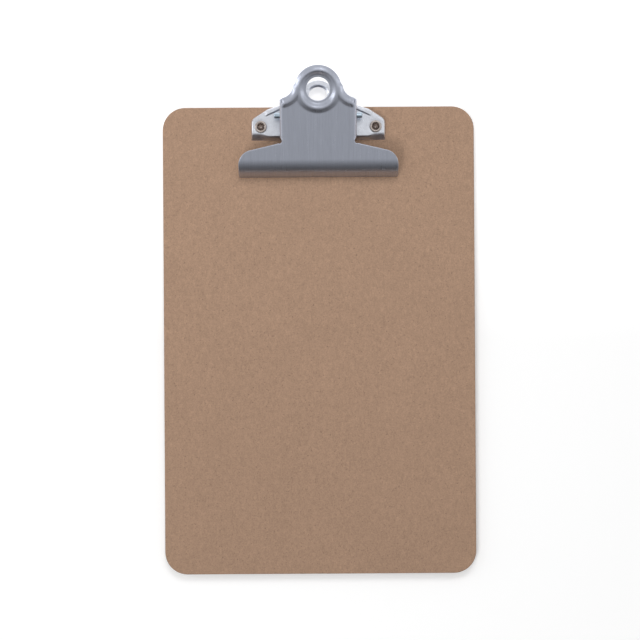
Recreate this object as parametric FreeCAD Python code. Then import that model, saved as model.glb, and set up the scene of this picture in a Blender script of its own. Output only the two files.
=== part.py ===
"""Clipboard with a sprung steel clip, built as seven separate pieces.

Units are millimetres.  X runs across the board, Y up the board towards the clip, Z out of its front face.
The origin is the centre of the board's back face.
"""
import FreeCAD, Part
import math
import os

os.makedirs("parts", exist_ok=True)

V = FreeCAD.Vector

# Board
BOARD_W = 152.4
BOARD_H = 228.6
BOARD_T = 3.2
BOARD_CORNER_R = 11.0
BOARD_EDGE_R = 0.5

# Both pressed pieces are made from the same sheet
SHEET_T = 0.9

# Rivets
RIVET_X = 28.0
RIVET_FROM_TOP = 9.9
RIVET_SHANK_R = 2.2
RIVET_HOLE_CLEAR = 0.1
RIVET_HEAD_R = 3.9
RIVET_HEAD_H = 0.75
RIVET_RING_R = 2.9
RIVET_RING_H = 0.7
RIVET_BORE_R = 1.85
RIVET_BORE_DEPTH = 3.5
RIVET_CONE_DEPTH = 0.9

# Base plate
BASE_H = 2.6
BASE_HALF_W = 32.8
BASE_FRONT_FROM_TOP = 16.3
BASE_SIDE_FROM_TOP = 7.2
BASE_SLANT_X = 24.9
BASE_SLANT_FROM_TOP = 1.1
BASE_NECK_GAP = 0.3
BASE_NECK_PAST_TOP = 0.7
BASE_CORNER_R = 2.5
BASE_BEND_R = 1.8
BASE_FRONT_RUN = 3.2
BASE_FRONT_FOOT_H = 0.3
BASE_HANDLE_HALF_W = 11.5
BASE_HANDLE_ROOT_FROM_TOP = 1.5
BASE_HANDLE_SLOPE = 15.0
BASE_HEAD_R = 8.4
BASE_HEAD_PAST_TOP = 5.0
BASE_HOLE_R = 4.5
BASE_HOLE_PAST_TOP = 5.5
BASE_RING_CREST_R = 6.1
BASE_RING_FOOT_R = 7.5
BASE_RING_H = 0.5
BASE_RING_DROP = 0.3
EAR_GAP = 0.35
EAR_HALF_W = 4.0
EAR_WALL = 1.65
EAR_WINDOW_X = 9.6

# Hinge pin
PIN_R = 1.35
PIN_FROM_TOP = 5.2
PIN_H = 8.0
PIN_PROUD = 3.0
PIN_END_R = 0.9
PIN_RUNNING_CLEAR = 0.06

# Clamp lever
LEVER_SLOPE = 16.0
LEVER_HALF_W = 18.5
LEVER_BEND_R = 1.8
LEVER_FLANGE_FROM_TOP = 17.0
LEVER_FLANGE_PAST_TOP = 0.8
LEVER_FLANGE_END_D = 4.6
LEVER_EYE_WALL = 1.75
LEVER_SHOULDER_PAST_TOP = 1.8
LEVER_SWEEP_R = 6.5
LEVER_NUB_W = 0.3
LEVER_HEAD_R = 11.1
LEVER_HEAD_PAST_TOP = 6.7
LEVER_HOLE_R = 5.65
LEVER_HOLE_PAST_TOP = 6.1
LEVER_RING_CREST_R = 9.1
LEVER_RING_FOOT_R = 10.7
LEVER_RING_H = 0.9
LEVER_RING_DROP = 0.5

# Jaw of the lever
JAW_HALF_W = 38.7
JAW_END_R = 7.0
JAW_END_TOP_FROM_TOP = 22.2
JAW_NECK_FROM_TOP = 18.8
JAW_R = 11.3
JAW_LIP_FROM_TOP = 34.5
JAW_LIP_ANGLE = 79.5
JAW_LIP_GAP = 0.15

# Torsion spring
SPRING_WIRE_R = 0.7
SPRING_PIN_CLEAR = 0.35
SPRING_HALF_LENGTH = 8.2
SPRING_COILS = 10
SPRING_LEG = 7.4
SPRING_LEG_GAP = 0.2

# Places that follow from the sizes above
TOP_Y = BOARD_H / 2
RIVET_Y = TOP_Y - RIVET_FROM_TOP
BASE_TOP_Z = BOARD_T + BASE_H
PIN_Y = TOP_Y - PIN_FROM_TOP
PIN_Z = BOARD_T + PIN_H
JAW_CENTRE_Y = TOP_Y - JAW_LIP_FROM_TOP + JAW_R * math.sin(math.radians(JAW_LIP_ANGLE))
JAW_CENTRE_Z = BOARD_T - JAW_R * math.cos(math.radians(JAW_LIP_ANGLE))
FLAT_START_Y = JAW_CENTRE_Y - JAW_R * math.sin(math.radians(LEVER_SLOPE))
FLAT_START_Z = JAW_CENTRE_Z + JAW_R * math.cos(math.radians(LEVER_SLOPE))
EAR_OUTER_X = LEVER_HALF_W - SHEET_T - EAR_GAP
EAR_TOP_R = PIN_R + EAR_WALL
LEVER_EYE_R = PIN_R + LEVER_EYE_WALL
LEVER_SWEEP_X = LEVER_HALF_W - LEVER_NUB_W
BASE_NECK_X = LEVER_HALF_W + BASE_NECK_GAP
PIN_HALF_LENGTH = LEVER_HALF_W + PIN_PROUD
SPRING_MEAN_R = PIN_R + SPRING_PIN_CLEAR + SPRING_WIRE_R


def line(a, b):
    return Part.LineSegment(a, b).toShape()


def arc(a, b, c):
    return Part.Arc(a, b, c).toShape()


def box(x0, x1, y0, y1, z0, z1):
    return Part.makeBox(x1 - x0, y1 - y0, z1 - z0, V(x0, y0, z0))


def symmetric_prism(start, steps, z0, z1):
    """Prism on a plan outline that is mirrored in X.

    start is the outline's first point on the +X side.  Each step is an end point, or a middle and an end point
    for an arc.  The last step ends on the same side, and the mirror image closes the outline.
    """
    right = []
    here = V(start[0], start[1], z0)
    for step in steps:
        points = [V(p[0], p[1], z0) for p in step]
        if len(points) == 1:
            right.append(line(here, points[0]))
        else:
            right.append(arc(here, points[0], points[1]))
        here = points[-1]
    edges = list(right)
    mirrored = [edge.mirror(V(0, 0, 0), V(1, 0, 0)) for edge in right]
    edges.extend(mirrored)
    edges.append(line(V(-start[0], start[1], z0), V(start[0], start[1], z0)))
    if here.x > 1e-6:
        edges.append(line(here, V(-here.x, here.y, z0)))
    wire = Part.Wire(Part.__sortEdges__(edges))
    return Part.Face(wire).extrude(V(0, 0, z1 - z0))


def fillet_where(shape, radius, keep):
    edges = [edge for edge in shape.Edges if keep(edge)]
    return shape.makeFillet(radius, edges)


def is_vertical(edge):
    box_of = edge.BoundBox
    return box_of.ZLength > 0.1 and box_of.XLength < 1e-3 and box_of.YLength < 1e-3


def at_height(z):
    def keep(edge):
        box_of = edge.BoundBox
        return abs(box_of.ZMin - z) < 1e-3 and abs(box_of.ZMax - z) < 1e-3
    return keep


def formed_ring(foot_r, crest_r, hole_r, crest_h, drop):
    """Raised ring round a hole, formed in a sheet whose top is at Z 0; its axis is Z."""
    crest = Part.BSplineCurve()
    middle_r = 0.45 * crest_r + 0.55 * hole_r
    crest.interpolate([V(foot_r, 0, 0), V(crest_r, 0, crest_h), V(middle_r, 0, 0.3 * crest_h),
                       V(hole_r, 0, -drop)])
    top = crest.toShape()
    bottom = top.translated(V(0, 0, -SHEET_T))
    outer = line(V(foot_r, 0, 0), V(foot_r, 0, -SHEET_T))
    inner = line(V(hole_r, 0, -drop), V(hole_r, 0, -drop - SHEET_T))
    wire = Part.Wire(Part.__sortEdges__([top, outer, bottom, inner]))
    return Part.Face(wire).revolve(V(0, 0, 0), V(0, 0, 1), 360)


def tilted(shape, angle, y, z):
    """The shape turned about X by the angle, then moved to y, z."""
    turned = shape.copy()
    turned.rotate(V(0, 0, 0), V(1, 0, 0), angle)
    turned.translate(V(0, y, z))
    return turned


def make_board():
    """Hardboard panel with round corners and two rivet holes."""
    panel = box(-BOARD_W / 2, BOARD_W / 2, -BOARD_H / 2, BOARD_H / 2, 0, BOARD_T)
    panel = fillet_where(panel, BOARD_CORNER_R, is_vertical)
    panel = fillet_where(panel, BOARD_EDGE_R, at_height(BOARD_T))
    panel = fillet_where(panel, BOARD_EDGE_R, at_height(0))
    for side in (-1, 1):
        hole = Part.makeCylinder(RIVET_SHANK_R + RIVET_HOLE_CLEAR, BOARD_T, V(side * RIVET_X, RIVET_Y, 0))
        panel = panel.cut(hole)
    return panel


def make_rivet(side):
    """Semi-tubular rivet: domed head on the back, rolled ring on the base plate."""
    dome_r = (RIVET_HEAD_R ** 2 + RIVET_HEAD_H ** 2) / (2 * RIVET_HEAD_H)
    half_angle = 0.5 * math.asin(RIVET_HEAD_R / dome_r)
    dome_z = dome_r - RIVET_HEAD_H
    dome = V(dome_r * math.sin(half_angle), 0, dome_z - dome_r * math.cos(half_angle))
    ring_z = BASE_TOP_Z + RIVET_RING_H
    bore_z = ring_z - RIVET_BORE_DEPTH
    ring_mid_r = 0.5 * (RIVET_RING_R + RIVET_BORE_R)
    roll_w = RIVET_RING_R - ring_mid_r
    roll = V(ring_mid_r + 0.7071 * roll_w, 0, BASE_TOP_Z + 0.7071 * RIVET_RING_H)
    edges = [
        arc(V(0, 0, -RIVET_HEAD_H), dome, V(RIVET_HEAD_R, 0, 0)),
        line(V(RIVET_HEAD_R, 0, 0), V(RIVET_SHANK_R, 0, 0)),
        line(V(RIVET_SHANK_R, 0, 0), V(RIVET_SHANK_R, 0, BASE_TOP_Z)),
        line(V(RIVET_SHANK_R, 0, BASE_TOP_Z), V(RIVET_RING_R, 0, BASE_TOP_Z)),
        arc(V(RIVET_RING_R, 0, BASE_TOP_Z), roll, V(ring_mid_r, 0, ring_z)),
        line(V(ring_mid_r, 0, ring_z), V(RIVET_BORE_R, 0, ring_z - 0.3)),
        line(V(RIVET_BORE_R, 0, ring_z - 0.3), V(RIVET_BORE_R, 0, bore_z)),
        line(V(RIVET_BORE_R, 0, bore_z), V(0, 0, bore_z - RIVET_CONE_DEPTH)),
        line(V(0, 0, bore_z - RIVET_CONE_DEPTH), V(0, 0, -RIVET_HEAD_H)),
    ]
    profile = Part.Face(Part.Wire(Part.__sortEdges__(edges)))
    rivet = profile.revolve(V(0, 0, 0), V(0, 0, 1), 360)
    rivet.translate(V(side * RIVET_X, RIVET_Y, 0))
    return rivet


def make_base_pan():
    """Raised flat of the base plate with its skirt down to the board."""
    front = TOP_Y - BASE_FRONT_FROM_TOP
    steps = [
        [(BASE_HALF_W, TOP_Y - BASE_SIDE_FROM_TOP)],
        [(BASE_SLANT_X, TOP_Y - BASE_SLANT_FROM_TOP)],
        [(BASE_NECK_X, TOP_Y + BASE_NECK_PAST_TOP)],
    ]
    run_per_rise = BASE_FRONT_RUN / (BASE_H - BASE_FRONT_FOOT_H)
    lean = math.atan(1 / run_per_rise)

    def over_slope(shift, z_top):
        """All that lies in front of the sloping front wall, moved back by shift."""
        z0 = BOARD_T + BASE_FRONT_FOOT_H
        points = [V(-2 * BASE_HALF_W, front + shift - run_per_rise, z0 - 1),
                  V(-2 * BASE_HALF_W, front + shift + run_per_rise * (z_top + 1 - z0), z_top + 1),
                  V(-2 * BASE_HALF_W, front + shift - run_per_rise, z_top + 1)]
        return Part.Face(Part.makePolygon(points + [points[0]])).extrude(V(4 * BASE_HALF_W, 0, 0))

    outer = symmetric_prism((BASE_HALF_W, front), steps, BOARD_T, BASE_TOP_Z)
    outer = fillet_where(outer, BASE_CORNER_R, is_vertical)
    bottom = [face for face in outer.Faces if face.BoundBox.ZMax < BOARD_T + 1e-3][0]
    inner_wire = bottom.OuterWire.makeOffset2D(-SHEET_T)
    inner = Part.Face(inner_wire).extrude(V(0, 0, BASE_H - SHEET_T))
    outer = fillet_where(outer, BASE_BEND_R, at_height(BASE_TOP_Z))
    inner = fillet_where(inner, BASE_BEND_R - SHEET_T, at_height(BASE_TOP_Z - SHEET_T))
    outer = outer.cut(over_slope(0, BASE_TOP_Z))
    inner = inner.cut(over_slope(SHEET_T / math.sin(lean), BASE_TOP_Z))
    return outer.cut(inner)


def make_base_handle():
    """Sloping handle of the base plate, with its formed ring and hanging hole."""
    root_y = TOP_Y - BASE_HANDLE_ROOT_FROM_TOP
    head_y = TOP_Y + BASE_HEAD_PAST_TOP
    slope = math.radians(BASE_HANDLE_SLOPE)
    slab_length = (head_y + 2 * BASE_HEAD_R - root_y) / math.cos(slope)
    slab = box(-BASE_HANDLE_HALF_W, BASE_HANDLE_HALF_W, 0, slab_length, -SHEET_T, 0)
    slab = tilted(slab, -BASE_HANDLE_SLOPE, root_y, BASE_TOP_Z)
    neck_x = 0.5 * (BASE_HANDLE_HALF_W + BASE_HEAD_R) - 0.6
    steps = [
        [(BASE_HANDLE_HALF_W, TOP_Y - 0.4)],
        [(neck_x, 0.5 * (TOP_Y + head_y) - 0.2), (BASE_HEAD_R, head_y)],
        [(0.7071 * BASE_HEAD_R, head_y + 0.7071 * BASE_HEAD_R), (0, head_y + BASE_HEAD_R)],
    ]
    outline = symmetric_prism((BASE_HANDLE_HALF_W, root_y), steps, 0, 2 * BASE_TOP_Z)
    hole_y = TOP_Y + BASE_HOLE_PAST_TOP
    ring_z = BASE_TOP_Z - (hole_y - root_y) * math.tan(slope)
    handle = slab.common(outline)
    ring_room = Part.makeCylinder(BASE_RING_FOOT_R, 4 * SHEET_T, V(0, 0, -2 * SHEET_T))
    handle = handle.cut(tilted(ring_room, -BASE_HANDLE_SLOPE, hole_y, ring_z))
    ring = formed_ring(BASE_RING_FOOT_R, BASE_RING_CREST_R, BASE_HOLE_R, BASE_RING_H, BASE_RING_DROP)
    return handle.fuse(tilted(ring, -BASE_HANDLE_SLOPE, hole_y, ring_z))


def make_ear(side):
    """Ear lanced up from the base plate; the pin is held in its hole."""
    x0 = side * EAR_OUTER_X - (SHEET_T if side > 0 else 0)
    foot_z = BASE_TOP_Z - SHEET_T
    corners = [V(x0, PIN_Y - EAR_HALF_W, foot_z), V(x0, PIN_Y + EAR_HALF_W, foot_z),
               V(x0, PIN_Y + EAR_HALF_W, BASE_TOP_Z + 1.5), V(x0, PIN_Y + 0.92 * EAR_TOP_R, PIN_Z + 0.38 * EAR_TOP_R),
               V(x0, PIN_Y - 0.92 * EAR_TOP_R, PIN_Z + 0.38 * EAR_TOP_R), V(x0, PIN_Y - EAR_HALF_W, BASE_TOP_Z + 1.5)]
    web = Part.Face(Part.makePolygon(corners + [corners[0]])).extrude(V(SHEET_T, 0, 0))
    eye = Part.makeCylinder(EAR_TOP_R, SHEET_T, V(x0, PIN_Y, PIN_Z), V(1, 0, 0))
    hole = Part.makeCylinder(PIN_R, SHEET_T, V(x0, PIN_Y, PIN_Z), V(1, 0, 0))
    return web.fuse(eye).cut(hole)


def make_base_plate():
    """Base plate: pan, two ears, the windows they were lanced from, rivet holes and the handle."""
    plate = make_base_pan()
    root_y = TOP_Y - BASE_HANDLE_ROOT_FROM_TOP
    relief = box(-BASE_HANDLE_HALF_W, BASE_HANDLE_HALF_W, root_y, TOP_Y + 2, BOARD_T, BASE_TOP_Z)
    plate = plate.cut(relief)
    plate = plate.fuse(make_base_handle())
    for side in (-1, 1):
        hole = Part.makeCylinder(RIVET_SHANK_R + RIVET_HOLE_CLEAR, BASE_TOP_Z, V(side * RIVET_X, RIVET_Y, 0))
        inner_x = EAR_OUTER_X - SHEET_T
        x0 = EAR_WINDOW_X if side > 0 else -inner_x
        window = box(x0, x0 + inner_x - EAR_WINDOW_X, PIN_Y - EAR_HALF_W, root_y - SHEET_T,
                     BASE_TOP_Z - SHEET_T, BASE_TOP_Z)
        plate = plate.cut(hole).cut(window).fuse(make_ear(side))
    return plate.removeSplitter()


def make_hinge_pin():
    """Plain pin with rounded ends, held in the ears of the base plate."""
    pin = Part.makeCylinder(PIN_R, 2 * PIN_HALF_LENGTH, V(-PIN_HALF_LENGTH, PIN_Y, PIN_Z), V(1, 0, 0))
    return pin.makeFillet(PIN_END_R, [edge for edge in pin.Edges if edge.BoundBox.XLength < 1e-3])


def make_lever_band():
    """Bent strip of the lever, as wide as the jaw: the flat, then the curve down to the lip."""
    slope = math.radians(LEVER_SLOPE)
    tip_y = TOP_Y + LEVER_HEAD_PAST_TOP + 2 * LEVER_HEAD_R
    reach = tip_y - FLAT_START_Y

    def on_arc(radius, angle):
        y = JAW_CENTRE_Y - radius * math.sin(angle)
        z = JAW_CENTRE_Z + radius * math.cos(angle)
        return V(-JAW_HALF_W, y, z)

    def end_angle(radius):
        return math.acos((BOARD_T + JAW_LIP_GAP - JAW_CENTRE_Z) / radius)

    inner_r = JAW_R - SHEET_T
    rise = V(0, reach, reach * math.tan(slope))
    top = on_arc(JAW_R, slope)
    under = on_arc(inner_r, slope)
    lip_out = on_arc(JAW_R, end_angle(JAW_R))
    lip_in = on_arc(inner_r, end_angle(inner_r))
    edges = [
        line(top.add(rise), top),
        arc(top, on_arc(JAW_R, 0.5 * (slope + end_angle(JAW_R))), lip_out),
        line(lip_out, lip_in),
        arc(lip_in, on_arc(inner_r, 0.5 * (slope + end_angle(inner_r))), under),
        line(under, under.add(rise)),
        line(under.add(rise), top.add(rise)),
    ]
    profile = Part.Face(Part.Wire(Part.__sortEdges__(edges)))
    return profile.extrude(V(2 * JAW_HALF_W, 0, 0))


def make_lever_outline():
    """Prism on the plan outline of the lever: jaw, body, shoulders and round head."""
    jaw_top = TOP_Y - JAW_END_TOP_FROM_TOP
    end_x = JAW_HALF_W - JAW_END_R
    head_y = TOP_Y + LEVER_HEAD_PAST_TOP
    squeeze = math.cos(math.radians(LEVER_SLOPE))
    shoulder_y = TOP_Y + LEVER_SHOULDER_PAST_TOP
    sweep_y = shoulder_y + LEVER_SWEEP_R

    def on_sweep(angle):
        a = math.radians(angle)
        return (LEVER_SWEEP_X - LEVER_SWEEP_R * math.cos(a), sweep_y - LEVER_SWEEP_R * math.sin(a))

    def on_head(angle):
        a = math.radians(angle)
        return (LEVER_HEAD_R * math.sin(a), head_y + squeeze * LEVER_HEAD_R * math.cos(a))

    steps = [
        [(JAW_HALF_W, jaw_top - JAW_END_R)],
        [(end_x + 0.7071 * JAW_END_R, jaw_top - 0.2929 * JAW_END_R), (end_x, jaw_top)],
        [(LEVER_HALF_W, TOP_Y - JAW_NECK_FROM_TOP)],
        [(LEVER_HALF_W, shoulder_y - 0.5)],
        [(LEVER_HALF_W - 0.15, shoulder_y - 0.15), on_sweep(90)],
        [on_sweep(48), on_sweep(10)],
        [on_head(75)],
        [on_head(38), on_head(0)],
    ]
    return symmetric_prism((JAW_HALF_W, TOP_Y - JAW_LIP_FROM_TOP - 1), steps, 0, 40)


def flat_y(past_top):
    """Distance up the lever's flat of a place this far past the board's top edge in plan."""
    return (TOP_Y + past_top - FLAT_START_Y) / math.cos(math.radians(LEVER_SLOPE))


def pin_on_flat():
    """The pin's place in the lever's own frame: up the flat, and above its top face."""
    slope = math.radians(LEVER_SLOPE)
    dy = PIN_Y - FLAT_START_Y
    dz = PIN_Z - FLAT_START_Z
    return dy * math.cos(slope) + dz * math.sin(slope), dz * math.cos(slope) - dy * math.sin(slope)


def make_lever_channel():
    """Flanged part of the lever's body, in the lever's own frame, with the holes for the pin."""
    y0 = flat_y(-LEVER_FLANGE_FROM_TOP)
    y1 = flat_y(LEVER_FLANGE_PAST_TOP)
    pin_y, pin_z = pin_on_flat()
    depth = LEVER_EYE_R - pin_z
    inner_x = LEVER_HALF_W - SHEET_T

    def long_edge(z):
        def keep(edge):
            box_of = edge.BoundBox
            return box_of.YLength > 1 and abs(box_of.ZMax - z) < 1e-3 and box_of.ZLength < 1e-3
        return keep

    outer = box(-LEVER_HALF_W, LEVER_HALF_W, y0, y1, -depth, 0)
    outer = fillet_where(outer, LEVER_BEND_R, long_edge(0))
    inner = box(-inner_x, inner_x, y0, y1, -depth, -SHEET_T)
    inner = fillet_where(inner, LEVER_BEND_R - SHEET_T, long_edge(-SHEET_T))
    side = [V(-LEVER_HALF_W, y0, 0), V(-LEVER_HALF_W, y0, -LEVER_FLANGE_END_D),
            V(-LEVER_HALF_W, pin_y - 0.6 * LEVER_EYE_R, pin_z - 0.8 * LEVER_EYE_R),
            V(-LEVER_HALF_W, pin_y + 0.6 * LEVER_EYE_R, pin_z - 0.8 * LEVER_EYE_R),
            V(-LEVER_HALF_W, y1, -LEVER_FLANGE_END_D), V(-LEVER_HALF_W, y1, 0)]
    cheek = Part.Face(Part.makePolygon(side + [side[0]])).extrude(V(2 * LEVER_HALF_W, 0, 0))
    start = V(-LEVER_HALF_W, pin_y, pin_z)
    eye = Part.makeCylinder(LEVER_EYE_R, 2 * LEVER_HALF_W, start, V(1, 0, 0))
    hole = Part.makeCylinder(PIN_R + PIN_RUNNING_CLEAR, 2 * LEVER_HALF_W, start, V(1, 0, 0))
    return outer.cut(inner).common(cheek.fuse(eye)).cut(hole)


def make_clamp_lever():
    """Clamp lever: jaw, flanged body and handle with its formed ring, in one piece of sheet."""
    sheet = make_lever_band().common(make_lever_outline())
    flat_x = LEVER_HALF_W - LEVER_BEND_R
    y0 = flat_y(-LEVER_FLANGE_FROM_TOP)
    y1 = flat_y(LEVER_FLANGE_PAST_TOP)
    for side in (-1, 1):
        x0 = flat_x if side > 0 else -LEVER_HALF_W - 1
        strip = box(x0, x0 + LEVER_BEND_R + 1, y0, y1, -2 * SHEET_T, SHEET_T)
        sheet = sheet.cut(tilted(strip, LEVER_SLOPE, FLAT_START_Y, FLAT_START_Z))
    sheet = sheet.fuse(tilted(make_lever_channel(), LEVER_SLOPE, FLAT_START_Y, FLAT_START_Z))
    ring_room = Part.makeCylinder(LEVER_RING_FOOT_R, 4 * SHEET_T, V(0, flat_y(LEVER_HOLE_PAST_TOP), -2 * SHEET_T))
    sheet = sheet.cut(tilted(ring_room, LEVER_SLOPE, FLAT_START_Y, FLAT_START_Z))
    ring = formed_ring(LEVER_RING_FOOT_R, LEVER_RING_CREST_R, LEVER_HOLE_R, LEVER_RING_H, LEVER_RING_DROP)
    ring.translate(V(0, flat_y(LEVER_HOLE_PAST_TOP), 0))
    sheet = sheet.fuse(tilted(ring, LEVER_SLOPE, FLAT_START_Y, FLAT_START_Z))
    return sheet.removeSplitter()


def leg_angle(slope, distance):
    """Angle at which a leg that leaves the coil at a tangent ends just short of a plane of this slope."""
    reach = distance - SPRING_WIRE_R - SPRING_LEG_GAP
    tip = math.hypot(SPRING_MEAN_R, SPRING_LEG)
    return slope + math.degrees(math.asin(reach / tip) - math.atan2(SPRING_MEAN_R, SPRING_LEG))


def make_torsion_spring():
    """Coil round the pin, with one leg down to the base plate's handle and one up to the lever's."""
    base_slope = math.radians(BASE_HANDLE_SLOPE)
    root_y = TOP_Y - BASE_HANDLE_ROOT_FROM_TOP
    base_distance = (PIN_Z - BASE_TOP_Z) * math.cos(base_slope) - (root_y - PIN_Y) * math.sin(base_slope)
    base_leg = leg_angle(BASE_HANDLE_SLOPE, base_distance)
    lever_leg = leg_angle(LEVER_SLOPE, -pin_on_flat()[1] - SHEET_T)
    turns = SPRING_COILS + (180 - base_leg - lever_leg) / 360
    length = 2 * SPRING_HALF_LENGTH
    pitch = length / turns
    helix = Part.makeHelix(pitch, length, SPRING_MEAN_R)
    climb = pitch / (2 * math.pi * SPRING_MEAN_R)
    tangent = V(0, 1, climb)
    section = Part.Wire(Part.makeCircle(SPRING_WIRE_R, V(SPRING_MEAN_R, 0, 0), tangent))
    coil = Part.Wire(helix).makePipeShell([section], True, True)
    first_leg = Part.makeCylinder(SPRING_WIRE_R, SPRING_LEG, V(SPRING_MEAN_R, 0, 0), tangent.multiply(-1))
    end = math.radians(360 * turns)
    last_point = V(SPRING_MEAN_R * math.cos(end), SPRING_MEAN_R * math.sin(end), length)
    last_way = V(-math.sin(end), math.cos(end), climb)
    last_leg = Part.makeCylinder(SPRING_WIRE_R, SPRING_LEG, last_point, last_way)
    spring = coil.fuse(first_leg).fuse(last_leg)
    spring = spring.mirror(V(0, 0, 0), V(0, 1, 0))
    spring.rotate(V(0, 0, 0), V(0, 1, 0), 90)
    spring.rotate(V(0, 0, 0), V(1, 0, 0), -base_leg)
    spring.translate(V(-SPRING_HALF_LENGTH, PIN_Y, PIN_Z))
    return spring


def main():
    pieces = {
        "board": make_board(),
        "base_plate": make_base_plate(),
        "clamp_lever": make_clamp_lever(),
        "hinge_pin": make_hinge_pin(),
        "torsion_spring": make_torsion_spring(),
        "rivet_left": make_rivet(-1),
        "rivet_right": make_rivet(1),
    }
    for name, shape in pieces.items():
        solids = shape.Solids
        if len(solids) != 1 or not shape.isValid():
            raise ValueError("%s: %d solids, valid %s" % (name, len(solids), shape.isValid()))
        solids[0].exportStep("parts/%s.step" % name)
        print(name, round(solids[0].Volume, 1), solids[0].BoundBox)


main()
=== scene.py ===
"""Looks for the clipboard: pressed clip pieces, turned pins and rivets, hardboard, and a plain studio.

Shapes are worked out in millimetres on whole arrays and written to meshes in metres.  X runs across the
board, Y up the board towards the clip and Z out of its front face.
"""
import math

import bpy
import numpy as np
from mathutils.geometry import delaunay_2d_cdt
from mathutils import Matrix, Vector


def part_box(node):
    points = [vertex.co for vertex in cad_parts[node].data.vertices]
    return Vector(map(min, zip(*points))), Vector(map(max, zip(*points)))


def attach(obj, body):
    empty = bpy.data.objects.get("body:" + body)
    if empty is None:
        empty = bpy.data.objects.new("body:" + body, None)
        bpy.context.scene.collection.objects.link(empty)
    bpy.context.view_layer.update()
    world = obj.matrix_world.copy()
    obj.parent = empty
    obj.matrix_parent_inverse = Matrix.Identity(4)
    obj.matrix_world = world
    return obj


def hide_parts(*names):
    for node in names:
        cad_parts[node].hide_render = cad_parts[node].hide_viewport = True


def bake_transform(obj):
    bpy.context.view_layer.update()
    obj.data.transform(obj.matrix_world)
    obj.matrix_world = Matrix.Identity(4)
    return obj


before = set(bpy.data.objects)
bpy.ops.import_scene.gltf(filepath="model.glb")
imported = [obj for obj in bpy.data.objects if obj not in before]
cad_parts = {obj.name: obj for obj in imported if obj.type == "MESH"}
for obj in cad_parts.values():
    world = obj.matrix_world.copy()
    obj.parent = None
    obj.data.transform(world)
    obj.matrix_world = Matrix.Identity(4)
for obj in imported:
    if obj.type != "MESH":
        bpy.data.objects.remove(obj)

bl_info = {
    "name": "Clipboard",
    "version": (1, 0, 0),
    "blender": (4, 5, 0),
    "location": "View3D > Sidebar > Clipboard",
    "description": "Builds the visible pieces of a clipboard around its fixed frame",
    "category": "Add Mesh",
}

MM = 0.001


def node_box(node):
    """Lowest and highest corner of a frame node, in millimetres."""
    low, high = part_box(node)
    return np.array(low) / MM, np.array(high) / MM


BOARD_HIGH = node_box("board")[1]
LEVER_HIGH = node_box("clamp_lever")[1]
BASE_HIGH = node_box("base_plate")[1]
PIN_LOW, PIN_HIGH = node_box("hinge_pin")
RIVET_LOW, RIVET_HIGH = node_box("rivet_right")

TOP_Y = BOARD_HIGH[1]
FRONT_Z = BOARD_HIGH[2]
PIN_Y = 0.5 * (PIN_LOW[1] + PIN_HIGH[1])
PIN_Z = 0.5 * (PIN_LOW[2] + PIN_HIGH[2])
PIN_R = 0.5 * (PIN_HIGH[2] - PIN_LOW[2])
RIVET_X = 0.5 * (RIVET_LOW[0] + RIVET_HIGH[0])
RIVET_Y = 0.5 * (RIVET_LOW[1] + RIVET_HIGH[1])

# Clamp lever, measured on its top face
LEVER_SLOPE = math.radians(16)
LEVER_HALF_W = 18.5
LEVER_BEND_R = 1.8
LEVER_HEAD_R = 11.1
LEVER_HEAD_PAST_TOP = 6.27
LEVER_HOLE_R = 5.65
LEVER_HOLE_PAST_TOP = 6.1
JAW_R = 11.3
JAW_LIP_ANGLE = math.radians(79.5)
JAW_LIP_FROM_TOP = 34.5
JAW_HALF_W = LEVER_HIGH[0]
LIP_SHORT = 0.42
PIN_CLEAR = 0.06
JAW_CENTRE_Y = TOP_Y - JAW_LIP_FROM_TOP + JAW_R * math.sin(JAW_LIP_ANGLE)
JAW_CENTRE_Z = FRONT_Z - JAW_R * math.cos(JAW_LIP_ANGLE)
FLAT_Y = JAW_CENTRE_Y - JAW_R * math.sin(LEVER_SLOPE)
FLAT_Z = JAW_CENTRE_Z + JAW_R * math.cos(LEVER_SLOPE)

# Base plate
BASE_H = 2.6
BASE_TOP_Z = FRONT_Z + BASE_H
BASE_HALF_W = BASE_HIGH[0]
BASE_HOLE_R = 4.5
BASE_HOLE_PAST_TOP = 5.5
BASE_ROOT_FROM_TOP = 1.5
BASE_HEAD_R = 8.4
BASE_HEAD_PAST_TOP = 5.0
BASE_FRONT_LOW = -14.2
BASE_FRONT_HIGH = -12.8
BASE_FOOT = -16.25
BASE_SIDE_RUN = 0.9
BASE_SLANT_RUN = 1.3
BASE_EDGE_RUN = 0.7
BASE_RIB_H = 0.55
RIB_FOOT = (25.3, -4.8)
RIB_OUT = (0.409, 0.912)
BASE_HANDLE_SLOPE = math.radians(15)
EAR_GAP = 0.35
EAR_HALF_W = 4.0
EAR_EYE_R = 3.0
EAR_WINDOW_X = 9.6
RIVET_HOLE_R = 2.3
BASE_RING_CREST_R = 6.1
BASE_RING_FOOT_R = 7.5
BASE_RING_H = 0.5
BASE_FUNNEL_DROP = 0.45
RIVET_SEAT = 0.12
EDGE_ROUND = 0.16


def length_property(name, description, default):
    return bpy.props.FloatProperty(name=name, description=description, default=default, unit="LENGTH")


def colour_property(name, description, default):
    return bpy.props.FloatVectorProperty(
        name=name, description=description, size=3, subtype="COLOR", default=default)


class ClipboardSizes(bpy.types.PropertyGroup):
    """Sizes of the visible detail; the overall sizes come from the frame."""
    sheet: length_property("Sheet thickness", "Thickness of the pressed steel", 0.0009)
    bead: length_property("Bead height", "Height of the rolled bead along the lever's shoulders", 0.00085)
    ring: length_property("Ring height", "Height of the ring round the lever's hole", 0.0009)
    wire: length_property("Spring wire", "Diameter of the torsion spring's wire", 0.0014)
    grain: bpy.props.FloatProperty(
        name="Brushing", description="Strength of the brushing on the lever", default=0.5, min=0.0, max=1.0,
        subtype="FACTOR")


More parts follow.
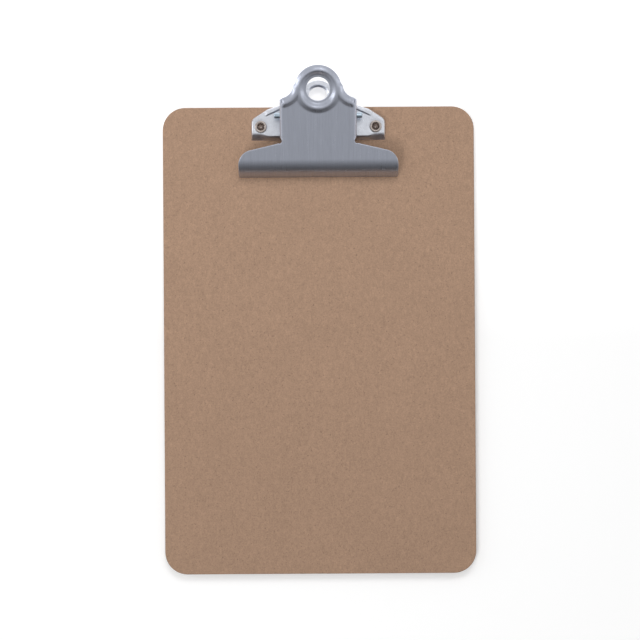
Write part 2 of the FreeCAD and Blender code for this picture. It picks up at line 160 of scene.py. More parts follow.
class ClipboardColours(bpy.types.PropertyGroup):
    """Base colours of the finishes."""
    board: colour_property("Hardboard", "Front face of the panel", (0.385, 0.248, 0.168))
    lever: colour_property("Satin steel", "Clamp lever", (0.52, 0.55, 0.64))
    plate: colour_property("Zinc plate", "Base plate", (0.74, 0.765, 0.83))
    rivet: colour_property("Rivets", "Rivets", (0.52, 0.46, 0.43))
    pin: colour_property("Pin", "Hinge pin", (0.52, 0.62, 0.72))
    spring: colour_property("Spring", "Torsion spring", (0.30, 0.30, 0.31))


# ---------------------------------------------------------------- mesh helpers


def smooth_step(x, low, high):
    """0 below low, 1 above high, and 3t^2 - 2t^3 between."""
    t = np.clip((x - low) / (high - low), 0, 1)
    return t * t * (3 - 2 * t)


def soft_max(a, b, k=0.08):
    """The larger of two heights, with the corner between them rounded by k."""
    return 0.5 * (a + b + np.sqrt((a - b) ** 2 + k * k))


def arc_points(centre, radius, start, end, step=0.4):
    """Points on a circle from start to end, in degrees clockwise from +Y, about step apart."""
    count = max(3, int(abs(math.radians(end - start)) * radius / step) + 1)
    a = np.radians(np.linspace(start, end, count))
    return np.stack([centre[0] + radius * np.sin(a), centre[1] + radius * np.cos(a)], 1)


def resample(points, step=0.4, closed=True):
    """Points about step apart along a polyline, with its corners kept."""
    ring = np.vstack([points, points[:1]]) if closed else points
    length = np.linalg.norm(np.diff(ring, axis=0), axis=1)
    parts = np.maximum(1, np.round(length / step)).astype(int)
    start = np.repeat(ring[:-1], parts, 0)
    way = np.repeat(np.diff(ring, axis=0), parts, 0)
    first = np.repeat(np.cumsum(parts) - parts, parts)
    share = (np.arange(parts.sum()) - first) / np.repeat(parts, parts)
    made = start + way * share[:, None]
    return made if closed else np.vstack([made, ring[-1:]])


def mirrored_loop(right):
    """A closed loop from its half with x >= 0, which runs from the axis round to the axis."""
    left = right[::-1] * np.array([-1, 1])
    keep = left[:, 0] < -1e-6
    return np.vstack([right, left[keep]])


def inside(points, loops, batch=4000):
    """Which points lie inside an odd number of the loops, by counting crossings to the right."""
    odd = np.zeros(len(points), bool)
    for a in loops:
        b = np.roll(a, -1, 0)
        for start in range(0, len(points), batch):
            p = points[start:start + batch]
            cross = (a[:, 1] > p[:, 1:2]) != (b[:, 1] > p[:, 1:2])
            rise = np.where(b[:, 1] == a[:, 1], 1.0, b[:, 1] - a[:, 1])
            x = a[:, 0] + (p[:, 1:2] - a[:, 1]) * (b[:, 0] - a[:, 0]) / rise
            odd[start:start + batch] ^= (np.sum(cross & (p[:, 0:1] < x), 1) % 2).astype(bool)
    return odd


def nearest(points, line, batch=2000):
    """Distance from each point to the nearest of the line's points."""
    far = np.empty(len(points))
    for start in range(0, len(points), batch):
        p = points[start:start + batch]
        far[start:start + batch] = np.linalg.norm(p[:, None, :] - line[None, :, :], axis=2).min(1)
    return far


def blank(loops, step, creases=None):
    """Triangles that fill the loops (the first is the outside, the rest are holes), from a staggered grid
    of points, which gives way to the points of any creases.

    Returns the points, with the loops' own points first, and the triangles, all wound the same way.
    """
    rim = np.vstack(loops)
    low, high = rim.min(0), rim.max(0)
    rows = np.arange(low[1], high[1], step * 0.866)
    columns = np.arange(low[0] - step, high[0] + step, step)
    x, y = np.meshgrid(columns, rows)
    x = x + 0.5 * step * (np.arange(len(rows)) % 2)[:, None]
    grid = np.stack([x.ravel(), y.ravel()], 1)
    grid = grid[inside(grid, loops)]
    if creases is not None:
        grid = np.vstack([creases, grid[nearest(grid, creases) > 0.6 * step]])
    grid = grid[nearest(grid, rim) > 0.55 * step]
    points = np.vstack([rim, grid])
    edges = []
    first = 0
    for loop in loops:
        index = np.arange(first, first + len(loop))
        edges.extend(zip(index.tolist(), np.roll(index, -1).tolist()))
        first += len(loop)
    out = delaunay_2d_cdt([tuple(p) for p in points.tolist()], edges, [], 0, 1e-6)
    if len(out[0]) != len(points):
        raise RuntimeError("the blank's outline crosses or repeats itself")
    triangles = np.array(out[2])
    source = np.array([v[0] for v in out[3]])
    triangles = source[triangles]
    triangles = triangles[inside(points[triangles].mean(1), loops)]
    a, b, c = (points[triangles[:, k]] for k in range(3))
    turn = (b[:, 0] - a[:, 0]) * (c[:, 1] - a[:, 1]) - (b[:, 1] - a[:, 1]) * (c[:, 0] - a[:, 0])
    triangles[turn < 0] = triangles[turn < 0][:, ::-1]
    return points, triangles


def metal_on_left(loops):
    """The same loops with the first one anticlockwise and the holes clockwise."""
    made = []
    for number, loop in enumerate(loops):
        follow = np.roll(loop, -1, 0)
        area = np.sum(loop[:, 0] * follow[:, 1] - follow[:, 0] * loop[:, 1])
        made.append(loop if (area > 0) == (number == 0) else loop[::-1])
    return made


def rim_walls(top, bottom, normal, spans, rows=6):
    """Rounded walls between two faces along their loops: half an ellipse from the top point to the bottom
    one, which stands out by EDGE_ROUND square to the loop's run and to the sheet's normal.  spans gives
    each loop's first point and length."""
    points, faces = [], []
    base = 2 * len(top)
    for first, length in spans:
        index = first + np.arange(length)
        upper, lower = top[index], bottom[index]
        out = np.cross(np.roll(upper, -1, 0) - np.roll(upper, 1, 0), normal[index])
        out /= np.linalg.norm(out, axis=1)[:, None]
        turn = np.linspace(0, math.pi, rows + 1)[1:-1, None, None]
        middle = upper + (lower - upper) * 0.5 * (1 - np.cos(turn)) + out * EDGE_ROUND * np.sin(turn)
        points.append(middle.reshape(-1, 3))
        inner = base + np.arange((rows - 1) * length).reshape(rows - 1, length)
        stack = np.vstack([index[None], inner, index[None] + len(top)])
        follow = np.roll(stack, -1, 1)
        faces.append(np.stack([stack[:-1], stack[1:], follow[1:], follow[:-1]], -1).reshape(-1, 4))
        base += (rows - 1) * length
    return np.vstack(points), np.vstack(faces)


def surface_normal(surface, points, e=0.02):
    """Unit normal of surface(u, v), from the slopes along u and v."""
    along_u = surface(points + [e, 0]) - surface(points - [e, 0])
    along_v = surface(points + [0, e]) - surface(points - [0, e])
    normal = np.cross(along_u, along_v)
    return normal / np.linalg.norm(normal, axis=1)[:, None]


def pressed(points, triangles, loops, surface, thickness):
    """Closed sheet: the blank carried by surface(u, v), its copy one thickness below, and rounded walls
    along the loops."""
    top = surface(points)
    normal = surface_normal(surface, points)
    bottom = top - thickness * normal
    lengths = np.array([len(loop) for loop in loops])
    walls, wall_faces = rim_walls(top, bottom, normal, list(zip(np.cumsum(lengths) - lengths, lengths)))
    return np.vstack([top, bottom, walls]), [triangles, triangles[:, ::-1] + len(points), wall_faces]


def make_object(name, parts, material, body, smooth_angle=35):
    """One mesh object, in metres, from a list of parts: points in millimetres, and a list of arrays of
    faces."""
    points, faces, first = [], [], 0
    for part_points, part_faces in parts:
        points.append(part_points)
        for group in part_faces:
            faces.append(np.asarray(group) + first)
        first += len(part_points)
    co = np.vstack(points) * MM
    mesh = bpy.data.meshes.new(name)
    loops = np.concatenate([f.ravel() for f in faces])
    sizes = np.concatenate([np.full(len(f), f.shape[1]) for f in faces])
    mesh.vertices.add(len(co))
    mesh.vertices.foreach_set("co", co.astype(np.float32).ravel())
    mesh.loops.add(len(loops))
    mesh.loops.foreach_set("vertex_index", loops.astype(np.int32))
    mesh.polygons.add(len(sizes))
    mesh.polygons.foreach_set("loop_start", (np.cumsum(sizes) - sizes).astype(np.int32))
    mesh.update(calc_edges=True)
    mesh.validate()
    mesh.shade_smooth()
    mesh.set_sharp_from_angle(angle=math.radians(smooth_angle))
    mesh.materials.append(material)
    piece = bpy.data.objects.new(name, mesh)
    bpy.context.scene.collection.objects.link(piece)
    if body:
        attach(piece, body)
    return piece


def ring_faces(rings, count):
    """Quads between successive rings of count points, and at each end a fan of triangles to one point of
    its own, which follows the rings."""
    i, j = np.meshgrid(np.arange(rings - 1), np.arange(count), indexing="ij")
    k = (j + 1) % count
    here, after = i * count, (i + 1) * count
    quads = np.stack([here + j, here + k, after + k, after + j], -1).reshape(-1, 4)
    j, k = j[0], k[0]
    last, tip = (rings - 1) * count, np.full(count, rings * count)
    start = np.stack([k, j, tip], 1)
    end = np.stack([last + j, last + k, tip + 1], 1)
    return [quads, np.vstack([start, end])]


def lathe(profile, axis, centre, count=64):
    """Surface of revolution: each (radius, height) of the profile turned about the axis through the centre.

    The first and last radius are 0, so each end closes on one point.
    """
    profile = np.asarray(profile, float)
    a = np.linspace(0, 2 * math.pi, count, endpoint=False)
    r = profile[1:-1, 0][:, None]
    h = np.broadcast_to(profile[1:-1, 1][:, None], (len(r), count))
    across, up = r * np.cos(a), r * np.sin(a)
    rings = np.stack([across.ravel(), up.ravel(), h.ravel()], 1)
    ends = np.array([[0, 0, profile[0, 1]], [0, 0, profile[-1, 1]]])
    points = np.vstack([rings, ends])
    if axis == "X":
        points = points[:, [2, 0, 1]]
    return points + np.asarray(centre), ring_faces(len(r), count)


# ---------------------------------------------------------------- materials


def new_group(name, inputs, outputs):
    """An empty shader node group with these named sockets, and its input and output nodes."""
    group = bpy.data.node_groups.new(name, "ShaderNodeTree")
    for label, kind, default in inputs:
        group.interface.new_socket(label, in_out="INPUT", socket_type=kind).default_value = default
    for label, kind in outputs:
        group.interface.new_socket(label, in_out="OUTPUT", socket_type=kind)
    return group, group.nodes.new("NodeGroupInput"), group.nodes.new("NodeGroupOutput")


def add(tree, kind, sockets=None, **settings):
    """A node with its settings, and values or links for its sockets, by name or number."""
    node = tree.nodes.new(kind)
    for key, value in settings.items():
        setattr(node, key, value)
    for key, value in (sockets or {}).items():
        if isinstance(value, bpy.types.NodeSocket):
            tree.links.new(value, node.inputs[key])
        else:
            node.inputs[key].default_value = value
    return node


def maths(tree, operation, a, b=0.5):
    return add(tree, "ShaderNodeMath", {0: a, 1: b}, operation=operation).outputs[0]


def mix_colour(tree, factor, a, b, blend="MIX"):
    return add(tree, "ShaderNodeMix", {0: factor, 6: a, 7: b}, data_type="RGBA", blend_type=blend).outputs[2]


def rgba(colour, gain=1.0):
    return tuple(min(1.0, c * gain) for c in colour) + (1.0,)


def grain_group():
    """Fine scratches stretched along Y: a mask and a height, from two noises of different length."""
    group, source, sink = new_group(
        "brushed grain",
        [("Across", "NodeSocketFloat", 9000.0), ("Along", "NodeSocketFloat", 260.0)],
        [("Mask", "NodeSocketFloat"), ("Height", "NodeSocketFloat")])
    place = add(group, "ShaderNodeTexCoord")
    scale = add(group, "ShaderNodeCombineXYZ", {0: source.outputs["Across"], 1: source.outputs["Along"],
                                                 2: source.outputs["Along"]})
    stretched = add(group, "ShaderNodeVectorMath", {0: place.outputs["Object"], 1: scale.outputs[0]},
                    operation="MULTIPLY")
    fine = add(group, "ShaderNodeTexNoise", {"Vector": stretched.outputs[0], "Scale": 0.5, "Detail": 5.0,
                                             "Roughness": 0.65})
    broad = add(group, "ShaderNodeTexNoise", {"Vector": stretched.outputs[0], "Scale": 0.09, "Detail": 3.0})
    both = maths(group, "ADD", maths(group, "MULTIPLY", fine.outputs["Fac"], 0.65),
                 maths(group, "MULTIPLY", broad.outputs["Fac"], 0.35))
    group.links.new(both, sink.inputs["Mask"])
    group.links.new(fine.outputs["Fac"], sink.inputs["Height"])
    return group


def mottle_group():
    """Clouding and fine speckle of a plated or rolled surface, as a mask and a height."""
    group, source, sink = new_group(
        "plating mottle",
        [("Cloud", "NodeSocketFloat", 260.0), ("Speckle", "NodeSocketFloat", 2600.0)],
        [("Mask", "NodeSocketFloat"), ("Height", "NodeSocketFloat")])
    place = add(group, "ShaderNodeTexCoord").outputs["Object"]
    cloud = add(group, "ShaderNodeTexNoise", {"Vector": place, "Scale": source.outputs["Cloud"],
                                              "Detail": 4.0, "Roughness": 0.6})
    speckle = add(group, "ShaderNodeTexNoise", {"Vector": place, "Scale": source.outputs["Speckle"],
                                                "Detail": 3.0})
    both = maths(group, "ADD", maths(group, "MULTIPLY", cloud.outputs["Fac"], 0.5),
                 maths(group, "MULTIPLY", speckle.outputs["Fac"], 0.5))
    group.links.new(both, sink.inputs["Mask"])
    group.links.new(speckle.outputs["Fac"], sink.inputs["Height"])
    return group


ROUGH_SWING = 0.12
METAL_BUMP = 0.00004


def shared_group(name, maker):
    return bpy.data.node_groups.get(name) or maker()


def new_material(name):
    material = bpy.data.materials.new(name)
    material.use_nodes = True
    tree = material.node_tree
    return material, tree, tree.nodes["Principled BSDF"]


def steel(name, colour, roughness, group, contrast, bump):
    """Metal whose colour, roughness and surface follow a group's mask and height."""
    material, tree, shader = new_material(name)
    shader.inputs["Metallic"].default_value = 1.0
    pattern = add(tree, "ShaderNodeGroup", node_tree=group)
    ramp = add(tree, "ShaderNodeMapRange", {0: pattern.outputs["Mask"], 1: 0.35, 2: 0.65, 3: 0.0, 4: 1.0})
    tint = mix_colour(tree, ramp.outputs[0], rgba(colour, 1 - contrast), rgba(colour, 1 + contrast))
    rough = add(tree, "ShaderNodeMapRange", {0: pattern.outputs["Mask"], 1: 0.3, 2: 0.7,
                                             3: roughness + ROUGH_SWING, 4: roughness - ROUGH_SWING})
    relief = add(tree, "ShaderNodeBump", {"Height": pattern.outputs["Height"], "Strength": bump,
                                          "Distance": METAL_BUMP})
    tree.links.new(tint, shader.inputs["Base Color"])
    tree.links.new(rough.outputs[0], shader.inputs["Roughness"])
    tree.links.new(relief.outputs["Normal"], shader.inputs["Normal"])
    return material


BACK_DEPTH = 0.0003


def hardboard(colour):
    """Pressed wood fibre: smooth brown faces with fine fibres and specks, darker at the cut edge, and a
    screen pattern on the back.  The colour also holds painted light: it is lighter towards the board's top
    end and darker towards its foot."""
    material, tree, shader = new_material("hardboard")
    place = add(tree, "ShaderNodeTexCoord").outputs["Object"]
    cloud = add(tree, "ShaderNodeTexNoise", {"Vector": place, "Scale": 35.0, "Detail": 6.0, "Roughness": 0.6})
    fibre_place = add(tree, "ShaderNodeMapping", {"Vector": place, "Scale": (620.0, 330.0, 620.0)})
    bent = add(tree, "ShaderNodeTexNoise", {"Vector": fibre_place.outputs[0], "Scale": 1.0, "Detail": 5.0,
                                            "Roughness": 0.7, "Distortion": 1.2})
    fine = add(tree, "ShaderNodeTexNoise", {"Vector": place, "Scale": 1500.0, "Detail": 4.0,
                                            "Roughness": 0.7})
    speck = add(tree, "ShaderNodeTexNoise", {"Vector": place, "Scale": 900.0, "Detail": 2.0,
                                             "Roughness": 0.7})
    along = add(tree, "ShaderNodeSeparateXYZ", {0: place})
    # Painted light: along Y the colour is painted lighter towards the board's top end and darker towards its
    # foot, a painted fall-off of light rather than a change in the board itself.
    foot = add(tree, "ShaderNodeMapRange", {0: along.outputs["Y"], 1: -0.115, 2: 0.09, 3: 0.0, 4: 1.0})
    pale_tone_with_painted_falloff = mix_colour(tree, foot.outputs[0], rgba(colour, 0.97), rgba(colour, 1.12))
    dark_tone_with_painted_falloff = mix_colour(tree, foot.outputs[0], rgba(colour, 0.84), rgba(colour, 0.98))
    body = mix_colour(tree, cloud.outputs["Fac"], dark_tone_with_painted_falloff, pale_tone_with_painted_falloff)
    fibre = add(tree, "ShaderNodeMapRange", {0: bent.outputs["Fac"], 1: 0.3, 2: 0.7, 3: 0.86, 4: 1.13})
    dust = add(tree, "ShaderNodeMapRange", {0: fine.outputs["Fac"], 1: 0.3, 2: 0.7, 3: 0.84, 4: 1.16})
    both = maths(tree, "MULTIPLY", fibre.outputs[0], dust.outputs[0])
    shade = add(tree, "ShaderNodeCombineColor", {0: both, 1: both, 2: both})
    toned = mix_colour(tree, 1.0, body, shade.outputs[0], "MULTIPLY")
    dark = add(tree, "ShaderNodeMapRange", {0: speck.outputs["Fac"], 1: 0.62, 2: 0.72, 3: 0.0, 4: 0.6})
    specked = mix_colour(tree, dark.outputs[0], toned, rgba(colour, 0.42))
    split = add(tree, "ShaderNodeSeparateXYZ", {0: add(tree, "ShaderNodeNewGeometry").outputs["Normal"]})
    flat = maths(tree, "ABSOLUTE", split.outputs["Z"])
    side = add(tree, "ShaderNodeMapRange", {0: flat, 1: 0.9, 2: 0.4, 3: 0.0, 4: 0.75})
    edged = mix_colour(tree, side.outputs[0], specked, rgba(colour, 0.62))
    tree.links.new(edged, shader.inputs["Base Color"])
    weave_u = add(tree, "ShaderNodeTexWave", {"Vector": place, "Scale": 180.0}, bands_direction="X")
    weave_v = add(tree, "ShaderNodeTexWave", {"Vector": place, "Scale": 180.0}, bands_direction="Y")
    weave = maths(tree, "MULTIPLY", weave_u.outputs["Fac"], weave_v.outputs["Fac"])
    back = maths(tree, "LESS_THAN", along.outputs["Z"], BACK_DEPTH)
    screen = maths(tree, "MULTIPLY", weave, maths(tree, "MULTIPLY", back, 2.2))
    height = maths(tree, "ADD", maths(tree, "ADD", bent.outputs["Fac"], fine.outputs["Fac"]), screen)
    relief = add(tree, "ShaderNodeBump", {"Height": height, "Strength": 0.35, "Distance": 0.0001})
    tree.links.new(relief.outputs["Normal"], shader.inputs["Normal"])
    rough = add(tree, "ShaderNodeMapRange", {0: bent.outputs["Fac"], 1: 0.3, 2: 0.7, 3: 0.5, 4: 0.66})
    tree.links.new(rough.outputs[0], shader.inputs["Roughness"])
    shader.inputs["Specular IOR Level"].default_value = 0.35
    return material


# ---------------------------------------------------------------- clamp lever


def flat_v(past_top):
    """Distance up the lever's flat of a place this far past the board's top edge, seen from above."""
    return (TOP_Y + past_top - FLAT_Y) / math.cos(LEVER_SLOPE)


def blank_v(y):
    """Distance along the lever's top face of a height y seen from above: up the flat, or down the jaw's
    arc."""
    y = np.asarray(y, float)
    on_flat = (y - FLAT_Y) / math.cos(LEVER_SLOPE)
    turn = np.arcsin(np.clip((JAW_CENTRE_Y - y) / JAW_R, -1, 1)) - LEVER_SLOPE
    return np.where(y >= FLAT_Y, on_flat, -JAW_R * turn)


def from_above(points):
    """An outline drawn from above, carried into the lever's blank."""
    return np.stack([points[:, 0], blank_v(points[:, 1])], 1)


PIN_V = (PIN_Y - FLAT_Y) * math.cos(LEVER_SLOPE) + (PIN_Z - FLAT_Z) * math.sin(LEVER_SLOPE)
PIN_DEPTH = (PIN_Y - FLAT_Y) * math.sin(LEVER_SLOPE) - (PIN_Z - FLAT_Z) * math.cos(LEVER_SLOPE)
BEND_START = LEVER_HALF_W - LEVER_BEND_R
FLANGE_V0 = flat_v(-16.7)
FLANGE_V1 = flat_v(0.75)
FLANGE_END = 4.6
EYE_R = 3.1
SLIT_V = flat_v(-0.5)
SLIT_X = 17.3
SLIT_W = 0.24
SWEEP_R = 6.5
SHOULDER_PAST_TOP = 1.8
JAW_END_R = 7.0
JAW_END_FROM_TOP = 22.2
LIP_CORNER_R = 1.0
NOTCH_R = 1.32
NOTCH_FROM_TOP = 17.95
RING_CREST_R = 9.1
RING_FOOT_R = 11.8
FUNNEL_RUN = 2.6
FUNNEL_DROP = 0.4
HOLE_V = flat_v(LEVER_HOLE_PAST_TOP)
BEAD_CREST = 2.5
EDGE_DROP = 0.35


def flange_u(depth):
    """Width in the blank at which a flange reaches this depth below the lever's top face."""
    return BEND_START + LEVER_BEND_R * (math.pi / 2 - 1) + depth


def lever_outline():
    """Right half of the lever's blank, from the lip up to the tip of the head, and the part with the bead."""
    lip_v = -JAW_R * (JAW_LIP_ANGLE - LEVER_SLOPE) + LIP_SHORT
    lip = arc_points((JAW_HALF_W - LIP_CORNER_R, lip_v + LIP_CORNER_R), LIP_CORNER_R, 180, 90, 0.3)
    end = arc_points((JAW_HALF_W - JAW_END_R, TOP_Y - JAW_END_FROM_TOP - JAW_END_R), JAW_END_R, 90, 8)
    notch = arc_points((LEVER_HALF_W + 0.3, TOP_Y - NOTCH_FROM_TOP), NOTCH_R, 163, 330, 0.2)
    jaw = from_above(np.vstack([end, notch]))
    eye = arc_points((flange_u(PIN_DEPTH), PIN_V), EYE_R, 145, 35)
    side = flange_u(FLANGE_END)
    low = np.array([[flange_u(LEVER_BEND_R), FLANGE_V0], [side - 0.4, FLANGE_V0], [side, FLANGE_V0 + 0.4]])
    high = np.array([[side, FLANGE_V1 - 0.5], [side - 0.5, FLANGE_V1]])
    flange = np.vstack([low, eye, high])
    nub = np.array([[19.9, 0.75], [19.2, 0.95], [18.6, 1.25], [18.1, 1.45], [17.7, 1.5], [17.45, 1.3]])
    nub = np.stack([nub[:, 0], flat_v(nub[:, 1])], 1)
    slit = np.array([[SLIT_X + 0.5 * SLIT_W, SLIT_V], [SLIT_X - 0.5 * SLIT_W, SLIT_V]])
    sweep = arc_points((LEVER_HALF_W - 0.3, TOP_Y + SHOULDER_PAST_TOP + SWEEP_R), SWEEP_R, 190, 262)
    head = arc_points((0, flat_v(LEVER_HEAD_PAST_TOP)), LEVER_HEAD_R, 75, 0)
    beaded = np.vstack([from_above(sweep), head])
    return np.vstack([[[0, lip_v]], lip, jaw, flange, nub, slit, beaded]), beaded


def lever_height(points, beaded, ring_h, bead_h):
    """Height of the pressed relief above the sheet.

    Round the hole: a ring with its crest at RING_CREST_R, a smooth fall to the sheet outside it, and a
    funnel inside it that ends in a flat lip.  Along the head and the shoulders: a broad bead that falls
    to the sheet on its inner side, and whose outer side rolls over to the cut edge.
    """
    r = np.hypot(points[:, 0], points[:, 1] - HOLE_V)
    far = nearest(points, beaded)
    crest = RING_CREST_R
    funnel = ring_h - (ring_h + FUNNEL_DROP) * smooth_step(crest - r, 0.1, FUNNEL_RUN)
    outside = ring_h * (1 - smooth_step(r, crest + 0.1, RING_FOOT_R))
    end = np.where(points[:, 1] < flat_v(4.0), smooth_step(SLIT_X - np.abs(points[:, 0]), -0.7, 1.5), 1.0)
    bead = bead_h * end * (1 - smooth_step(far, 2.8, 4.7))
    roll = (bead_h + EDGE_DROP) * end * (1 - np.clip(far / BEAD_CREST, 0, 1)) ** 2
    outer = soft_max(outside, bead, 0.1) - 0.05 * np.exp(-8 * np.abs(outside - bead)) - roll
    blend = smooth_step(r, crest - 0.25, crest + 0.25)
    return funnel * (1 - blend) + outer * blend


def lever_surface(points, beaded, ring_h, bead_h):
    """The lever's top face: the blank bent along its length onto a flat and the jaw's arc, and across its
    width over two quarter-round bends into the flanges, with the pressed relief added along the normal.
    The bends fade out below the flanges and beside the slits at their upper ends."""
    u, v = points[:, 0], points[:, 1]
    turn = LEVER_SLOPE + np.maximum(0, -v) / JAW_R
    y = np.where(v >= 0, FLAT_Y + v * math.cos(LEVER_SLOPE), JAW_CENTRE_Y - JAW_R * np.sin(turn))
    z = np.where(v >= 0, FLAT_Z + v * math.sin(LEVER_SLOPE), JAW_CENTRE_Z + JAW_R * np.cos(turn))
    bent = smooth_step(v, FLANGE_V0 - 1.1, FLANGE_V0)
    bent = bent * np.where(np.abs(u) < SLIT_X, 1 - smooth_step(v, SLIT_V - 0.8, SLIT_V), 1.0)
    past = np.maximum(0, np.abs(u) - BEND_START)
    a = np.minimum(past / LEVER_BEND_R, math.pi / 2)
    straight = np.maximum(0, past - LEVER_BEND_R * math.pi / 2)
    x = np.sign(u) * (BEND_START + LEVER_BEND_R * np.sin(a))
    x = np.where(past > 0, x * bent + u * (1 - bent), u)
    drop = (LEVER_BEND_R * (1 - np.cos(a)) + straight) * bent
    relief = lever_height(points, beaded, ring_h, bead_h)
    rise = relief * (1 - smooth_step(np.abs(u), SLIT_X - 0.02, SLIT_X + 0.02)) - drop
    return np.stack([x, y - rise * np.sin(turn), z + rise * np.cos(turn)], 1)


def circle(centre, radius, step=0.4):
    return arc_points(centre, radius, 0, 360, step)[:-1]


def build_lever(sizes, material):
    right, beaded_half = lever_outline()
    outline = resample(mirrored_loop(right), 0.42)
    beaded = resample(np.vstack([beaded_half, beaded_half[::-1] * [-1, 1]]), 0.1, closed=False)
    holes = [circle((0, HOLE_V), LEVER_HOLE_R + EDGE_ROUND, 0.35)]
    for side in (-1, 1):
        holes.append(circle((side * flange_u(PIN_DEPTH), PIN_V), PIN_R + PIN_CLEAR + EDGE_ROUND, 0.2))
    loops = metal_on_left([outline] + holes)
    points, triangles = blank(loops, 0.42)
    thickness = sizes.sheet / MM

    def surface(p):
        return lever_surface(p, beaded, sizes.ring / MM, sizes.bead / MM)

    made = pressed(points, triangles, loops, surface, thickness)
    piece = make_object("lever_sheet", [made], material, "lever", 50)
    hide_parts("clamp_lever")


# ---------------------------------------------------------------- base plate


def base_outline():
    """Right half of the line where the base plate's flat starts to bend down, from the front round to the
    tip of the handle."""
    t = np.linspace(0, 1, 12)
    rise = (BASE_FRONT_HIGH - BASE_FRONT_LOW) * smooth_step(t, 0, 1)
    step_in = np.stack([24.0 + 4.6 * t, BASE_FRONT_LOW + rise], 1)
    side_x = BASE_HALF_W - BASE_SIDE_RUN
    front = np.vstack([[[0, BASE_FRONT_LOW]], step_in])
    corner = arc_points((side_x - 0.5, BASE_FRONT_HIGH + 0.5), 0.5, 180, 90, 0.12)
    side = np.array([[side_x, -8.2], [side_x - 0.1, -7.5], [side_x - 0.45, -6.9], [30.8, -6.3]])
    slant = np.array([[24.3, -2.3], [18.4, -0.35], [13.8, -0.7]])
    neck = np.array([[12.2, -0.2], [10.8, 0.8], [9.2, 2.1], [8.2, 3.1]])
    head = arc_points((0, BASE_HEAD_PAST_TOP), BASE_HEAD_R - BASE_EDGE_RUN, 95, 0, 0.35)
    return np.vstack([front, corner, side, slant, neck, head]) + [0, TOP_Y]


def base_skirt(points, out):
    """How the base plate's skirt leaves its bend line: its reach as a vector, its drop, and how far it
    carries on level before it falls.  It is square to the line, except along the front, where it runs
    down to one straight foot and meets the sides at a corner."""
    x, y = np.abs(points[:, 0]), points[:, 1] - TOP_Y
    handle = (1 - smooth_step(x, 12.0, 15.0)) * (y > -3)
    slanted = smooth_step(y, -8.0, -6.5)
    run = BASE_SIDE_RUN + (BASE_SLANT_RUN - BASE_SIDE_RUN) * slanted
    run = run * (1 - handle) + BASE_EDGE_RUN * handle
    reach = out * run[:, None]
    side_x = BASE_HALF_W - BASE_SIDE_RUN
    in_front = (y < BASE_FRONT_HIGH + 0.45)[:, None]
    across = np.sign(points[:, 0]) * BASE_SIDE_RUN * smooth_step(x, side_x - 0.5, side_x - 0.15)
    down = (BASE_FOOT - y) * (1 - smooth_step(y, BASE_FRONT_HIGH + 0.12, BASE_FRONT_HIGH + 0.45))
    reach = np.where(in_front, np.stack([across, down], 1), reach)
    drop = (base_top(points) - FRONT_Z) * (1 - handle) + 0.75 * handle
    level = 0.9 - 0.6 * (1 - smooth_step(y, BASE_FRONT_HIGH, BASE_FRONT_HIGH + 0.45))
    return reach, drop, level


def base_top(points):
    """Height of the base plate's top face: a flat, a handle that slopes down behind it, a raised terrace
    along each slanted edge, a ring and funnel round the hanging hole, and a shallow seat round each
    rivet."""
    x, y = np.abs(points[:, 0]), points[:, 1] - TOP_Y
    past = y + BASE_ROOT_FROM_TOP
    bend = 1.5
    slide = np.where(past < bend, np.maximum(0, past + bend) ** 2 / (4 * bend), past)
    falls = 1 - smooth_step(x, 12.3, 14.2)
    z = BASE_TOP_Z - falls * slide * math.tan(BASE_HANDLE_SLOPE)
    off = (x - RIB_FOOT[0]) * RIB_OUT[0] + (y - RIB_FOOT[1]) * RIB_OUT[1]
    terrace = BASE_RIB_H * smooth_step(off, 0, 0.6)
    terrace = terrace * (1 - smooth_step(x, 24.4, 26.4)) * smooth_step(x, 14.5, 16.5)
    r = np.hypot(points[:, 0], (y - BASE_HOLE_PAST_TOP) / math.cos(BASE_HANDLE_SLOPE))
    crest = BASE_RING_CREST_R
    ring = BASE_RING_H * (1 - smooth_step(r, crest, BASE_RING_FOOT_R))
    funnel = BASE_RING_H - (BASE_RING_H + BASE_FUNNEL_DROP) * smooth_step(crest - r, 0.1, 1.6)
    round_hole = np.where(r < crest, funnel, ring)
    rivet = np.hypot(x - RIVET_X, points[:, 1] - RIVET_Y)
    seat = -RIVET_SEAT * (1 - smooth_step(rivet, 3.0, 3.9))
    return z + terrace + round_hole + seat


def rib_creases():
    """Lines of points along the foot, the middle and the top of each terrace's steep side."""
    along = np.arange(-0.6, 10.5, 0.3)[None, :, None]
    off = np.array([-0.25, 0.0, 0.2, 0.4, 0.6, 0.85])[:, None, None]
    way = np.array([-RIB_OUT[1], RIB_OUT[0]])
    right = (np.array(RIB_FOOT) + along * way + off * np.array(RIB_OUT) + [0, TOP_Y]).reshape(-1, 2)
    return np.vstack([right, right * [-1, 1]])


